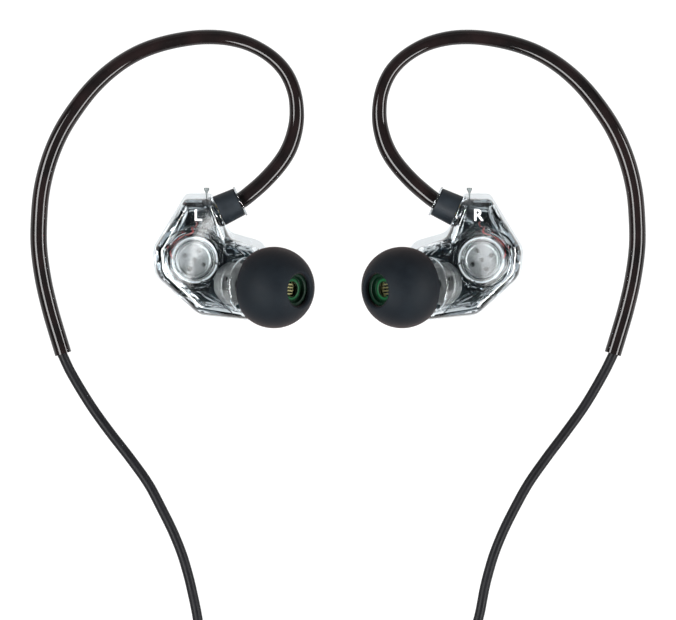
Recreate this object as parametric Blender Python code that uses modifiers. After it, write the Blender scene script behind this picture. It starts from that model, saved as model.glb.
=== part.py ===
"""In-ear monitors with clear shells, over-ear hooks and a detachable cable.

Both earpieces lie faceplate down on a surface, ear tips up and inward.  The
left side is modelled and baked, and the right side is its mirror image about
the YZ plane.  Sizes are in millimetres here and are scaled to metres when an
object is made.  The origin is on the surface, under the middle of the earpieces
and their hooks.
"""
import math

import bmesh
import bpy
from mathutils import Matrix, Vector
from mathutils.geometry import interpolate_bezier

MM = 0.001
GAP = 0.3                    # clearance kept between neighbouring solids
UP = Vector((0, 0, 1))

# Shell, two halves that meet at the seam
SEAM_Z = 4.6
SHELL_TOP = 8.0
SHELL_CENTRE = Vector((-21.5, -10.6, 0))
SHELL_CORNERS = (            # x, y, corner radius, clockwise from the top left
    (-24.45, -0.95, 1.0), (-20.3, -0.95, 0.6), (-17.2, -7.3, 1.3),
    (-12.0, -9.0, 2.5), (-10.7, -15.0, 5.0), (-12.4, -20.5, 3.0),
    (-22.2, -19.5, 3.0), (-29.0, -13.35, 3.0), (-29.4, -9.05, 3.0))
OUTSIDE_SECTIONS = (         # height, inset from the outline
    (0.5, 0.3), (1.3, 0.1), (2.2, 0.0), (SEAM_Z, 0.0),
    (6.4, 0.1), (7.3, 0.5), (7.8, 1.1), (SHELL_TOP, 1.9))
CAVITY_SECTIONS = (
    (1.0, 2.6), (1.4, 1.6), (2.2, 1.1), (SEAM_Z, 1.05), (6.2, 1.15), (6.8, 1.7), (7.0, 2.4))
FACEPLATE_CORNERS = (        # a thin plate that stands out a little all round
    (-24.4, -0.05, 1.0), (-20.3, -0.05, 0.6), (-17.5, -6.2, 2.5),
    (-11.6, -7.9, 2.5), (-10.5, -15.0, 5.0), (-12.3, -20.65, 3.0),
    (-22.25, -19.65, 3.0), (-29.4, -13.25, 3.0), (-29.8, -8.9, 3.0))
FACEPLATE_SECTIONS = ((0.0, 0.25), (0.2, 0.0), (0.9, 0.0), (1.1, 0.2))

# Nozzle and ear tip share one tilted axis; distances along it start at the tip's rim
RIM = Vector((-12.16, -15.0, 9.0))
NOZZLE_AXIS = Vector((0.728, -0.073, 0.682)).normalized()
NOZZLE_R = 2.2
NOZZLE_BORE_R = 1.5
NOZZLE_END = 5.3
DOME_R = 6.5
DOME_CENTRE = 2.7
DOME_WALL = 0.65
TIP_BORE_R = 2.6
LINER_R = (1.95, TIP_BORE_R - GAP)
LINER_END = 8.1
STEM_R = (NOZZLE_R + 0.55, NOZZLE_R + 1.15)

# Connector: the earpiece swivels about this axis and pulls off along it
SOCKET_MOUTH = Vector((-19.08, -2.96, SEAM_Z))
CONNECTOR_AXIS = Vector((0.906, 0.423, 0)).normalized()
BOSS_R = 2.75
SOCKET_R = (1.5, 1.8)
COLLAR_R = (2.5, 2.32)       # at the shell and at the hook
COLLAR_SPAN = (0.15, 3.65)

# Main driver stands upright in the shell, small driver sits behind the nozzle
DRIVER = Vector((-22.96, -10.77, 1.35))
DRIVER_R = 3.4
SMALL_DRIVER_T = -6.4
SMALL_DRIVER_R = 3.3

# Crossover board: it fills the shell's outline, with clearance holes for both drivers
BOARD_Z = 1.95
BOARD_THICK = 0.4
BOARD_INSET = 1.55
BOARD_CUTS = ((DRIVER_R + GAP, (DRIVER.x, DRIVER.y)), (3.3, (-13.7, -14.9)))

# Hook: soft tube formed to go over the ear, x, y, height of its centre line
HOOK_R = 1.36
HOOK_WIDTHS = (              # share of the length, share of the radius
    (0.0, 0.98), (0.12, 0.98), (0.2, 0.84), (0.29, 0.82), (0.36, 0.88),
    (0.5, 0.92), (0.62, 1.0), (1.0, 1.0))
HOOK_ROUTE = (
    (-16.5, -1.76, 4.6), (-15.6, -1.32, 4.6), (-14.3, -0.35, 4.57), (-11.9, 1.75, 4.42),
    (-9.35, 4.6, 4.1), (-7.8, 7.15, 3.75), (-6.85, 10.2, 3.35), (-6.6, 12.9, 3.0),
    (-7.0, 16.1, 2.6), (-8.35, 19.25, 2.25), (-10.7, 21.8, 1.95), (-14.0, 23.75, 1.7),
    (-17.5, 24.75, 1.5), (-21.0, 25.0, 1.45), (-24.4, 24.7, 1.4), (-28.55, 23.8, 1.37),
    (-32.2, 22.4, 1.37), (-35.75, 20.2, 1.37), (-39.1, 17.2, 1.37), (-42.0, 13.6, 1.37),
    (-44.4, 9.8, 1.37), (-46.3, 5.3, 1.37), (-47.5, 0.5, 1.37), (-47.95, -4.35, 1.37),
    (-47.95, -8.85, 1.37), (-47.25, -14.0, 1.37), (-46.15, -18.75, 1.37),
    (-45.15, -22.2, 1.37), (-44.05, -25.8, 1.37))

# Cable: two thin leads, a chin slider, a pair coil, a splitter, the main cord's
# coil and a 3.5 mm plug.  All of it lies on the surface.
LEAD_R = 0.8
CORD_R = 1.0
PAIR_X = (-21.0, -19.0)      # the leads run side by side here, left one first
LEFT_ROUTE = (
    (-44.1, -26.15, 1.2), (-42.85, -28.8, 0.95), (-39.75, -33.95, 0.8), (-36.8, -38.1, 0.8),
    (-33.35, -42.55, 0.8), (-30.4, -46.7, 0.8), (-28.2, -50.85, 0.8), (-26.5, -54.3, 0.8),
    (-25.1, -57.75, 0.8), (-24.25, -60.5, 0.8), (-23.55, -63.25, 0.8), (-22.5, -68.4, 0.8),
    (-21.5, -76.0, 0.8), (-21.05, -86.0, 0.8), (PAIR_X[0], -97.0, 0.85),
    (PAIR_X[0], -103.0, 1.4), (PAIR_X[0], -109.0, 1.45), (PAIR_X[0], -122.0, 1.4),
    (PAIR_X[0], -126.5, 0.9), (PAIR_X[0], -129.4, 0.8))
RIGHT_ROUTE = (
    (44.0, -26.15, 1.2), (42.7, -28.8, 0.95), (39.7, -33.95, 0.8), (36.75, -38.1, 0.8),
    (33.4, -42.55, 0.8), (30.5, -46.7, 0.8), (28.2, -50.85, 0.8), (26.5, -54.3, 0.8),
    (25.1, -57.75, 0.8), (24.25, -60.5, 0.8), (23.55, -63.25, 0.8), (22.5, -68.4, 0.8),
    (20.2, -75.0, 0.8), (14.6, -80.6, 0.8), (7.0, -84.2, 0.8), (-1.2, -86.8, 0.8),
    (-9.4, -90.2, 0.8), (-15.6, -95.2, 0.85), (-18.6, -101.6, 1.3), (PAIR_X[1], -108.0, 1.45),
    (PAIR_X[1], -122.0, 1.4), (PAIR_X[1], -125.0, 0.95), (PAIR_X[1], -127.0, 0.82))
SLIDER_CENTRE = Vector(((PAIR_X[0] + PAIR_X[1]) / 2, -117.5, 1.6))
SLIDER_SIZE = (5.8, 6.0, 3.2)
PAIR_COIL = Vector((PAIR_X[0] + 10.6, -136.0, 0))
PAIR_COIL_R = (7.6, 11.6)
PAIR_COIL_HEIGHT = 4.9
SPLITTER_CENTRE = Vector((7.3, -145.6, 1.7))
SPLITTER_SIZE = (15.0, 5.6, 3.4)
CORD_COIL = Vector((30.0, -130.6, 0.8))
CORD_COIL_R = (7.8, 16.2)
CORD_COIL_HEIGHT = 8.2
SPLITTER_TO_COIL = (
    (15.1, -145.6, 1.7), (17.2, -145.6, 1.5), (19.4, -145.6, 1.6), (21.4, -145.6, 1.8))
COIL_TO_PLUG = (
    (15.0, -139.2, 7.2), (15.0, -142.4, 6.4), (15.0, -145.8, 5.4), (14.5, -150.0, 4.4),
    (12.6, -154.3, 3.6), (9.2, -157.5, 3.2), (4.9, -159.1, 3.4), (0.6, -159.4, 3.9))
PLUG_START = Vector((0.2, -159.4, 4.0))
PLUG_AXIS = Vector((-1, 0, 0))

FINISHES = {                 # colour, roughness, metallic, transmission
    "clear": ((0.92, 0.95, 0.96), 0.04, 0.0, 1.0),
    "gloss_black": ((0.010, 0.009, 0.010), 0.12, 0.0, 0.0),
    "matte_black": ((0.022, 0.024, 0.028), 0.55, 0.0, 0.0),
    "tip_charcoal": ((0.022, 0.028, 0.034), 0.62, 0.0, 0.0),
    "tip_green": ((0.03, 0.30, 0.12), 0.45, 0.0, 0.0),
    "steel": ((0.72, 0.72, 0.70), 0.28, 1.0, 0.0),
    "dark_steel": ((0.16, 0.165, 0.17), 0.35, 1.0, 0.0),
    "gold": ((0.86, 0.66, 0.30), 0.25, 1.0, 0.0),
    "film": ((0.75, 0.72, 0.60), 0.30, 0.0, 0.0),
    "board": ((0.02, 0.05, 0.05), 0.45, 0.0, 0.0),
    "wire_red": ((0.75, 0.08, 0.07), 0.40, 0.0, 0.0),
    "grey": ((0.30, 0.32, 0.33), 0.50, 0.0, 0.0),
}


# ---------------------------------------------------------------- helpers

def material(name):
    """The named finish as a Principled material, made once."""
    found = bpy.data.materials.get(name)
    if found:
        return found
    colour, roughness, metallic, transmission = FINISHES[name]
    made = bpy.data.materials.new(name)
    made.use_nodes = True
    shader = made.node_tree.nodes["Principled BSDF"]
    shader.inputs["Base Color"].default_value = (*colour, 1)
    shader.inputs["Roughness"].default_value = roughness
    shader.inputs["Metallic"].default_value = metallic
    shader.inputs["Transmission Weight"].default_value = transmission
    return made


def add_object(name, data, finish=None):
    """A new object in the model's collection."""
    made = bpy.data.objects.new(name, data)
    parts.objects.link(made)
    if finish:
        data.materials.clear()
        data.materials.append(material(finish))
    return made


def along(axis, origin):
    """The placement whose local Z runs along axis from origin, in metres."""
    turn = UP.rotation_difference(axis).to_matrix().to_4x4()
    return Matrix.Translation(origin * MM) @ turn


def baked(made, outward=True):
    """Replace an object by its evaluated mesh, in world space and welded.

    A hollow solid keeps the normals it has, because its inside faces point inward.
    """
    bpy.context.view_layer.update()
    seen = made.evaluated_get(bpy.context.evaluated_depsgraph_get())
    mesh = bpy.data.meshes.new_from_object(seen)
    mesh.transform(made.matrix_world)
    shape = bmesh.new()
    shape.from_mesh(mesh)
    bmesh.ops.remove_doubles(shape, verts=shape.verts, dist=0.002 * MM)
    if outward:
        bmesh.ops.recalc_face_normals(shape, faces=shape.faces)
    shape.to_mesh(mesh)
    shape.free()
    name, finish = made.name, made.data.materials[0].name if made.data.materials else None
    bpy.data.objects.remove(made)
    mesh.shade_smooth()
    mesh.set_sharp_from_angle(angle=math.radians(35))
    return add_object(name, mesh, finish)


def turned(name, profile, axis, origin, finish, steps=16, ring=False):
    """A turned solid; profile is (radius, distance) pairs down its outer side."""
    mesh = bpy.data.meshes.new(name)
    points = [(radius * MM, 0, distance * MM) for radius, distance in profile]
    edges = [(i, i + 1) for i in range(len(points) - 1)]
    if ring:
        edges.append((len(points) - 1, 0))
    mesh.from_pydata(points, edges, [])
    made = add_object(name, mesh, finish)
    made.matrix_world = along(axis, origin)
    screw = made.modifiers.new("turn", "SCREW")
    screw.steps = steps
    screw.render_steps = steps
    screw.use_merge_vertices = True
    screw.merge_threshold = 0.000001
    return baked(made)


def smooth(route, spacing):
    """Points a set distance apart on one smooth curve through the route."""
    points = [Vector(p) for p in route]
    ends = [points[0] * 2 - points[1]] + points + [points[-1] * 2 - points[-2]]
    fine = []
    for before, start, end, after in zip(ends, ends[1:], ends[2:], ends[3:]):
        reach = (end - start).length / 3
        out = (end - before).normalized() * reach
        back = (after - start).normalized() * reach
        fine += interpolate_bezier(start, start + out, end - back, end, 12)[:-1]
    fine.append(points[-1])
    lengths = [0.0]
    for a, b in zip(fine, fine[1:]):
        lengths.append(lengths[-1] + (b - a).length)
    count = max(2, round(lengths[-1] / spacing))
    placed, i = [], 0
    for k in range(count + 1):
        wanted = lengths[-1] * k / count
        while i < len(fine) - 2 and lengths[i + 1] < wanted:
            i += 1
        share = (wanted - lengths[i]) / (lengths[i + 1] - lengths[i])
        placed.append(fine[i].lerp(fine[i + 1], share))
    return placed


def share_at(steps, x):
    """The value at x on a line through (x, value) pairs."""
    for (start, low), (end, high) in zip(steps, steps[1:]):
        if x <= end:
            return low + (high - low) * (x - start) / (end - start)
    return steps[-1][1]


def tube(name, route, radius, finish, spacing, widths=((0, 1), (1, 1))):
    """A round cord or tube along a smooth route; widths scale the radius along it."""
    curve = bpy.data.curves.new(name, "CURVE")
    curve.dimensions = "3D"
    curve.bevel_depth = radius * MM
    curve.bevel_resolution = 2
    curve.use_fill_caps = True
    points = smooth(route, spacing)
    spline = curve.splines.new("POLY")
    spline.points.add(len(points) - 1)
    for k, (slot, point) in enumerate(zip(spline.points, points)):
        slot.co = (*(point * MM), 1)
        slot.radius = share_at(widths, k / (len(points) - 1))
    return baked(add_object(name, curve, finish))


def rounded(corners):
    """A closed outline through arcs at the corners, about 24 degrees a step."""
    outline = []
    for i, (x, y, radius) in enumerate(corners):
        corner = Vector((x, y, 0))
        before = (Vector((*corners[i - 1][:2], 0)) - corner).normalized()
        after = (Vector((*corners[(i + 1) % len(corners)][:2], 0)) - corner).normalized()
        half = before.angle(after) / 2
        centre = corner + (before + after).normalized() * radius / math.sin(half)
        start = corner + before * radius / math.tan(half) - centre
        turn = (math.pi - 2 * half) * (-1 if before.cross(after).z > 0 else 1)
        steps = max(2, round(abs(turn) / math.radians(24)))
        for k in range(steps + 1):
            outline.append(centre + Matrix.Rotation(turn * k / steps, 3, "Z") @ start)
    return outline


def loft(name, outline, sections, finish=None):
    """A capped solid through copies of an outline, inset towards the shell's centre."""
    shape = bmesh.new()
    rings = []
    for height, inset in sections:
        ring = []
        for point in outline:
            inward = (SHELL_CENTRE - point).normalized() * inset
            ring.append(shape.verts.new((point + inward + UP * height) * MM))
        rings.append(ring)
    for lower, upper in zip(rings, rings[1:]):
        for k in range(len(outline)):
            n = (k + 1) % len(outline)
            shape.faces.new((lower[k], lower[n], upper[n], upper[k]))
    shape.faces.new(rings[0])
    shape.faces.new(rings[-1])
    bmesh.ops.recalc_face_normals(shape, faces=shape.faces)
    mesh = bpy.data.meshes.new(name)
    shape.to_mesh(mesh)
    shape.free()
    return add_object(name, mesh, finish)


def block(name, centre, size, finish=None, bevel=0.0):
    """A box in millimetres, with rounded edges if bevel is given."""
    shape = bmesh.new()
    bmesh.ops.create_cube(shape, size=1, matrix=Matrix.Diagonal((*(Vector(size) * MM), 1)))
    mesh = bpy.data.meshes.new(name)
    shape.to_mesh(mesh)
    shape.free()
    made = add_object(name, mesh, finish)
    made.location = Vector(centre) * MM
    if bevel:
        edge = made.modifiers.new("rounded edges", "BEVEL")
        edge.width = bevel * MM
        edge.segments = 2
    return baked(made)


def plate(name, outlines, thickness, placement, finish):
    """A flat outline, with any holes, as a plate of the given thickness."""
    curve = bpy.data.curves.new(name, "CURVE")
    curve.dimensions = "2D"
    curve.fill_mode = "BOTH"
    curve.extrude = thickness / 2 * MM
    for outline in outlines:
        spline = curve.splines.new("POLY")
        spline.points.add(len(outline) - 1)
        for slot, point in zip(spline.points, outline):
            slot.co = (point[0] * MM, point[1] * MM, 0, 1)
        spline.use_cyclic_u = True
    made = add_object(name, curve, finish)
    made.matrix_world = placement
    return baked(made)


def combine(made, other, operation):
    """Join or cut one object by another, which is then removed."""
    change = made.modifiers.new(operation.lower(), "BOOLEAN")
    change.object = other
    change.operation = operation
    result = baked(made, outward=False)
    bpy.data.objects.remove(other)
    return result


def rod(name, radius, start, end, axis, origin, steps=16):
    """A plain round bar between two distances along an axis."""
    return turned(name, ((0, end), (radius, end), (radius, start), (0, start)),
                  axis, origin, "steel", steps)


def tube_profile(inner, outer, start, end):
    """The closed profile of a plain ring between two distances."""
    return ((outer, end), (outer, start), (inner, start), (inner, end))


# ---------------------------------------------------------------- left earpiece

def shell_halves():
    """The two clear shell halves, hollow, with the faceplate and the nozzle."""
    outline = rounded(SHELL_CORNERS)
    body = loft("body", outline, OUTSIDE_SECTIONS, "clear")
    plate_form = loft("faceplate", rounded(FACEPLATE_CORNERS), FACEPLATE_SECTIONS, "clear")
    body = combine(body, plate_form, "UNION")
    neck = turned("neck", (
        (0, NOZZLE_END), (NOZZLE_R - 0.1, NOZZLE_END), (NOZZLE_R, NOZZLE_END - 0.15),
        (NOZZLE_R, 3.7), (NOZZLE_R + 0.22, 3.5), (NOZZLE_R + 0.22, 3.1), (NOZZLE_R, 2.8),
        (NOZZLE_R, 0.25), (2.8, -0.2), (3.4, -1.2), (4.15, -2.7), (4.6, -4.3),
        (4.6, -6.8), (0, -6.8)), NOZZLE_AXIS, RIM, "clear", 20)
    body = combine(body, neck, "UNION")
    boss = rod("boss", BOSS_R, -2.6, 0.0, CONNECTOR_AXIS, SOCKET_MOUTH, 16)
    body = combine(body, boss, "UNION")
    body = combine(body, loft("cavity", outline, CAVITY_SECTIONS), "DIFFERENCE")
    bore = turned("bore", (
        (0, NOZZLE_END + 1), (NOZZLE_BORE_R, NOZZLE_END + 1), (NOZZLE_BORE_R, -1.6),
        (2.6, -2.2), (3.75, -3.6), (3.75, -7.0), (0, -7.0)), NOZZLE_AXIS, RIM, "clear", 16)
    body = combine(body, bore, "DIFFERENCE")
    hole = rod("hole", SOCKET_R[1] + GAP, -4.2, 1.0, CONNECTOR_AXIS, SOCKET_MOUTH, 16)
    body = combine(body, hole, "DIFFERENCE")
    halves = []
    for name, centre_z in (("shell_outer", SEAM_Z + 10 - GAP / 2),
                           ("shell_inner", SEAM_Z - 10 + GAP / 2)):
        half = add_object(name, body.data.copy(), "clear")
        cutter = block("half_space", (-18, -10, centre_z), (60, 60, 20))
        halves.append(combine(half, cutter, "DIFFERENCE"))
    bpy.data.objects.remove(body)
    return halves


def ear_tip():
    """Silicone dome and its green stem, which pull off the nozzle together."""
    outside = []
    last = math.acos(-DOME_CENTRE / DOME_R)
    first = math.asin((TIP_BORE_R + 0.35) / DOME_R)
    for k in range(8):
        angle = first + (last - first) * k / 7
        outside.append((DOME_R * math.sin(angle), DOME_CENTRE + DOME_R * math.cos(angle)))
    inner_r = DOME_R - DOME_WALL
    web = math.asin((STEM_R[1] + GAP) / inner_r)
    inside = []
    for k in range(5):
        angle = last - 0.02 + (web - last + 0.02) * k / 4
        inside.append((inner_r * math.sin(angle), DOME_CENTRE + inner_r * math.cos(angle)))
    web_t = inside[-1][1]
    profile = [(TIP_BORE_R, outside[0][1] - 0.3)] + outside + inside + [(TIP_BORE_R, web_t)]
    dome = turned("ear_tip", profile, NOZZLE_AXIS, RIM, "tip_charcoal", 20, ring=True)
    core = turned("ear_tip_core", (
        (STEM_R[1], web_t - GAP - 0.6), (STEM_R[1], 0.7), (STEM_R[0], 0.6),
        (STEM_R[0], NOZZLE_END + 0.9), (LINER_R[0], NOZZLE_END + 1.3), (LINER_R[0], LINER_END),
        (LINER_R[1], LINER_END), (LINER_R[1], web_t - GAP), (STEM_R[1] - 0.5, web_t - GAP)),
        NOZZLE_AXIS, RIM, "tip_green", 16, ring=True)
    screen = turned("nozzle_screen", (
        (0, NOZZLE_END + 0.6), (NOZZLE_R - 0.1, NOZZLE_END + 0.6),
        (NOZZLE_R - 0.1, NOZZLE_END + GAP), (0, NOZZLE_END + GAP)),
        NOZZLE_AXIS, RIM, "gold", 16)
    across = NOZZLE_AXIS.cross(UP).normalized()
    turn = Matrix((across, NOZZLE_AXIS.cross(across), NOZZLE_AXIS)).transposed().to_4x4()
    for k in range(5):
        offset = (k - 2) * 0.5
        half_slot = math.sqrt(1.35 ** 2 - offset ** 2)
        middle = RIM + NOZZLE_AXIS * (NOZZLE_END + 0.45) + across * offset
        placement = Matrix.Translation(middle * MM) @ turn
        slot = block("slot", (0, 0, 0), (0.26, 2 * half_slot, 1.2))
        slot.matrix_world = placement
        screen = combine(screen, slot, "DIFFERENCE")
    return [dome, core, screen]


def main_driver():
    """Dynamic driver: yoke, magnet, diaphragm with its coil, frame and cover."""
    yoke = turned("driver_yoke", (
        (0, 0.5), (2.15, 0.5), (2.15, 2.0), (2.7, 2.0), (2.7, 0), (0, 0)),
        UP, DRIVER, "steel", 20)
    magnet = turned("driver_magnet", (
        (0, 2.0), (1.4, 2.0), (1.4, 0.8), (0, 0.8)), UP, DRIVER, "grey", 16)
    diaphragm = turned("driver_diaphragm", (
        (0, 3.45), (1.0, 3.3), (1.75, 2.85), (2.2, 3.05), (2.65, 2.75), (2.65, 2.6),
        (2.25, 2.85), (1.9, 2.7), (1.9, 1.2), (1.75, 1.2), (1.75, 2.6), (1.0, 3.1), (0, 3.25)),
        UP, DRIVER, "film", 16)
    frame = turned("driver_frame", tube_profile(3.0, DRIVER_R, 0, 3.6), UP, DRIVER,
                   "steel", 20, ring=True)
    cover = turned("driver_cover", (
        (0, 4.55), (2.45, 4.55), (2.5, 4.75), (2.85, 4.75), (2.95, 4.3), (DRIVER_R, 4.2),
        (DRIVER_R, 3.9), (2.75, 3.9), (2.6, 4.25), (0, 4.25)), UP, DRIVER, "steel", 16)
    holes = [(0, 0)]
    for k in range(4):
        angle = math.radians(64 + 90 * k)
        holes.append((1.65 * math.cos(angle), 1.65 * math.sin(angle)))
    for x, y in holes:
        drill = rod("drill", 0.42, 3.5, 5.5, UP, DRIVER + Vector((x, y, 0)), 8)
        cover = combine(cover, drill, "DIFFERENCE")
    return [yoke, magnet, diaphragm, frame, cover]


def small_driver():
    """Second driver, behind the nozzle: cup and front cover."""
    centre = RIM + NOZZLE_AXIS * SMALL_DRIVER_T
    radius = SMALL_DRIVER_R
    cup = turned("small_driver_cup", (
        (0, -0.6), (radius - 0.45, -0.6), (radius - 0.45, 0.5), (radius, 0.5),
        (radius, -0.75), (radius - 0.35, -1.0), (0, -1.0)), NOZZLE_AXIS, centre, "steel", 16)
    cover = turned("small_driver_cover", (
        (0.7, 1.2), (radius - 0.2, 1.2), (radius, 1.1), (radius, 0.8), (0.7, 0.8)),
        NOZZLE_AXIS, centre, "steel", 16, ring=True)
    return [cup, cover]


def connector():
    """Coaxial connector: socket and contact in the shell, plug and ring in the collar."""
    inner, outer = SOCKET_R
    socket = turned("socket", (
        (0, -3.05), (inner, -3.05), (inner, -0.25), (outer, -0.25), (outer, -3.3), (0, -3.3)),
        CONNECTOR_AXIS, SOCKET_MOUTH, "dark_steel", 14)
    contact = turned("socket_contact", (
        (0, -2.5), (0.5, -2.5), (0.5, -2.15), (0.9, -2.15), (0.9, -2.75), (0, -2.75)),
        CONNECTOR_AXIS, SOCKET_MOUTH, "gold", 12)
    ring = turned("snap_ring", tube_profile(1.05, 1.28, -1.25, -0.95),
                  CONNECTOR_AXIS, SOCKET_MOUTH, "steel", 16, ring=True)
    male = turned("plug_body", (
        (0, 2.3), (1.6, 2.3), (1.6, 0.65), (1.15, 0.5), (1.15, -0.65), (0.8, -0.65),
        (0.8, -1.55), (1.15, -1.55), (1.15, -1.95), (0.55, -1.95), (0.55, 0.4), (0.2, 0.4),
        (0.2, -2.2), (0, -2.25)), CONNECTOR_AXIS, SOCKET_MOUTH, "gold", 14)
    start, end = COLLAR_SPAN
    collar = turned("collar", (
        (COLLAR_R[1] - 0.1, end), (COLLAR_R[1], end - 0.15),
        (COLLAR_R[0], start + 0.15), (COLLAR_R[0] - 0.1, start),
        (1.9, start), (1.9, 2.6), (HOOK_R + GAP, 2.6), (HOOK_R + GAP, end)),
        CONNECTOR_AXIS, SOCKET_MOUTH, "matte_black", 16, ring=True)
    return [socket, contact, ring, male, collar]


def small_parts():
    """Crossover board, the two wire runs and the vent nub on the shell's edge."""
    board = loft("crossover_board", rounded(SHELL_CORNERS),
                 ((BOARD_Z, BOARD_INSET), (BOARD_Z + BOARD_THICK, BOARD_INSET)), "board")
    for radius, (x, y) in BOARD_CUTS:
        cut = rod("cut", radius, BOARD_Z - 1, BOARD_Z + 1.5, UP, Vector((x, y, 0)), 24)
        board = combine(board, cut, "DIFFERENCE")
    red = tube("wire_red", (
        (-22.9, -5.2, 2.9), (-22.8, -5.6, 4.2), (-23.6, -6.2, 5.2), (-25.3, -6.8, 5.3),
        (-26.6, -7.9, 5.2), (-27.2, -9.2, 5.0), (-27.2, -10.6, 4.8)), 0.18, "wire_red", 1.1)
    black = tube("wire_black", (
        (-21.6, -5.4, 2.9), (-20.6, -6.2, 4.0), (-19.3, -7.7, 4.8), (-18.2, -9.6, 5.0),
        (-17.6, -10.6, 5.0)), 0.18, "matte_black", 1.1)
    nub = turned("vent_nub", (
        (0, 1.7), (0.42, 1.7), (0.42, 1.4), (0.3, 1.2), (0.2, 0.3), (0, 0.3)),
        Vector((0, 1, 0)), Vector((-21.0, -0.95, 5.5)), "grey", 12)
    return [board, red, black, nub]


# ---------------------------------------------------------------- cable

def leads():
    """The visible run of each thin lead, from its hook to the pair coil."""
    tube("left_lead", LEFT_ROUTE, LEAD_R, "matte_black", 4.0)
    tube("right_lead", RIGHT_ROUTE, LEAD_R, "matte_black", 4.0)


def coils():
    """The outer shape of each coil and of the tie round the main one."""
    for name, centre, radii, height in (
            ("lead_coil", PAIR_COIL, PAIR_COIL_R, PAIR_COIL_HEIGHT),
            ("cord_coil", CORD_COIL, CORD_COIL_R, CORD_COIL_HEIGHT)):
        turned(name, tube_profile(radii[0], radii[1], 0, height), UP, centre,
               "matte_black", 28, ring=True)
    inner, outer = CORD_COIL_R
    half_width, half_height = (outer - inner) / 2 + 2 * GAP, CORD_COIL_HEIGHT / 2 + GAP
    band = []
    for grow in (0.5, 0.0):
        x, z = half_width + grow, half_height + grow
        band.append(((-x, -z), (x, -z), (x, z), (-x, z)))
    middle = CORD_COIL + Vector(((inner + outer) / 2, 0, CORD_COIL_HEIGHT / 2))
    upright = Matrix.Translation(middle * MM) @ Matrix.Rotation(math.pi / 2, 4, "X")
    plate("coil_tie", band, 4.0, upright, "matte_black")


def oval(width, height, steps=5):
    """A rectangle with round ends."""
    radius = height / 2
    points = []
    for side in (1, -1):
        for k in range(steps + 1):
            angle = math.pi * k / steps - math.pi / 2
            points.append((side * (width / 2 - radius + radius * math.cos(angle)),
                           side * radius * math.sin(angle)))
    return points


def slider_and_splitter():
    """Chin slider over both leads, the splitter, and the main cord's two short runs."""
    across = Matrix.Translation(SLIDER_CENTRE * MM) @ Matrix.Rotation(math.pi / 2, 4, "X")
    opening = [(x, y - 0.15) for x, y in oval(4.3, 2.25)]
    plate("chin_slider", [oval(SLIDER_SIZE[0], SLIDER_SIZE[2]), opening],
          SLIDER_SIZE[1], across, "matte_black")
    block("splitter", SPLITTER_CENTRE, SPLITTER_SIZE, "matte_black", 0.9)
    tube("cord_start", SPLITTER_TO_COIL, CORD_R, "matte_black", 3.0)
    tube("cord_end", COIL_TO_PLUG, CORD_R, "matte_black", 4.0)


def stereo_plug():
    """3.5 mm three-pole plug with its handle and strain relief."""
    def piece(name, profile, finish, ring=False, steps=16):
        turned(name, tuple(reversed(profile)), PLUG_AXIS, PLUG_START, finish, steps, ring)
    piece("plug_relief", ((CORD_R, 0), (1.5, 0), (2.3, 7.7), (CORD_R, 7.7)),
          "matte_black", ring=True)
    piece("plug_handle", ((0, 8.0), (3.5, 8.0), (4.0, 8.6), (4.0, 24.5), (3.6, 26.0),
                          (0, 26.0)), "matte_black", steps=24)
    piece("plug_sleeve", tuple(reversed(tube_profile(1.3, 1.75, 26.3, 32.6))), "gold", True)
    piece("plug_ring", tuple(reversed(tube_profile(1.3, 1.75, 33.2, 35.6))), "gold", True)
    piece("plug_insulator", ((0, 26.3), (1.0, 26.3), (1.0, 36.0), (0, 36.0)), "matte_black")
    piece("plug_tip", ((0, 36.3), (1.75, 36.3), (1.75, 36.7), (1.25, 37.3), (1.75, 38.2),
                       (1.6, 38.8), (0.7, 40.0), (0, 40.0)), "gold")


# ---------------------------------------------------------------- assembly

def build():
    """Model the left side, mirror it to the right, and add what they share."""
    side = shell_halves() + ear_tip() + main_driver() + small_driver()
    side += connector() + small_parts()
    side.append(tube("hook", HOOK_ROUTE, HOOK_R, "gloss_black", 4.2, HOOK_WIDTHS))
    mirror = bpy.data.objects.new("mirror_plane", None)
    parts.objects.link(mirror)
    mirror.scale = (-1, 1, 1)
    for left in side:
        name = left.name
        left.name = "left_" + name
        right = left.copy()
        right.name = "right_" + name
        parts.objects.link(right)
        right.parent = mirror
    leads()
    coils()
    slider_and_splitter()
    stereo_plug()


for old in list(bpy.data.objects):
    bpy.data.objects.remove(old)
parts = bpy.data.collections.new("in_ear_monitors")
bpy.context.scene.collection.children.link(parts)
build()
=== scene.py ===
"""Looks of a pair of in-ear monitors with clear shells, over-ear hooks and a stored cable.

Lengths are in millimetres and are scaled to metres when a mesh is made.  Everything
on an earpiece is made once, for the left side, and mirrored about the YZ plane for
the right one.  The shell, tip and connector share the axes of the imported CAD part.
"""
from math import acos, asin, copysign, cos, pi, radians, sin, sqrt, tan, tau

import bmesh
import bpy
import numpy as np
from mathutils import Matrix, Vector
from mathutils.bvhtree import BVHTree
from mathutils.geometry import interpolate_bezier


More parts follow.
